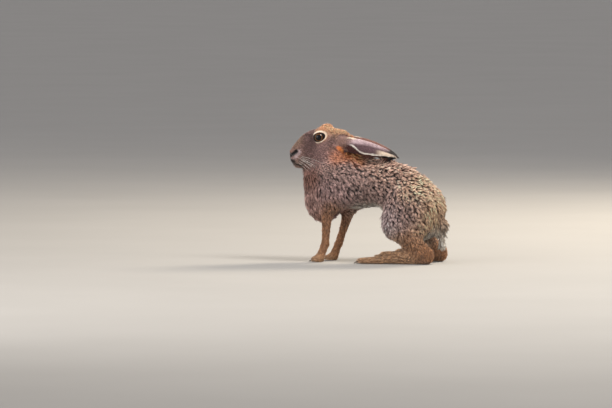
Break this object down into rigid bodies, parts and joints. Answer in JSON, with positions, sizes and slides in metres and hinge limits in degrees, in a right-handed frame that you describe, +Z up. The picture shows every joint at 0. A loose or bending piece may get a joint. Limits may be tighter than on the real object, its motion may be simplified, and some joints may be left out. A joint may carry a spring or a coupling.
{
  "type": "brown hare figure",
  "caption": "Still, life-size brown hare, sitting half raised on its feet with the head up and the ears laid back along the nape.",
  "frame": {"origin": "middle of the underside of the whole animal's box, on the floor it sits on", "axes": "+X to the hare's left, -Y where it looks, +Z up"},
  "size_m": [0.1392, 0.2906, 0.2424],
  "materials": {
    "coat": "crimped agouti fur, dark roots, pinkish-buff band, dark tip",
    "ear_coat": "short sleek fur, grey-brown, black at the tip",
    "tail_coat": "long soft fur, black above and white below",
    "skin": "dense underfur over skin",
    "eye": "wet, amber-brown iris with a dark pupil",
    "nose": "moist dark skin",
    "claw": "dark horn, satin",
    "whisker": "stiff pale hair"
  },
  "bodies": {
    "root": {"head": "coat", "neck": "coat", "trunk": "coat", "tail": "tail_coat", "ear_left": "ear_coat", "ear_right": "ear_coat", "eye_left": "eye", "eye_right": "eye", "foreleg_left": "coat", "foreleg_right": "coat", "forepaw_left": "coat", "forepaw_right": "coat", "haunch_left": "coat", "haunch_right": "coat", "hind_foot_left": "coat", "hind_foot_right": "coat"}
  },
  "joints": []
}
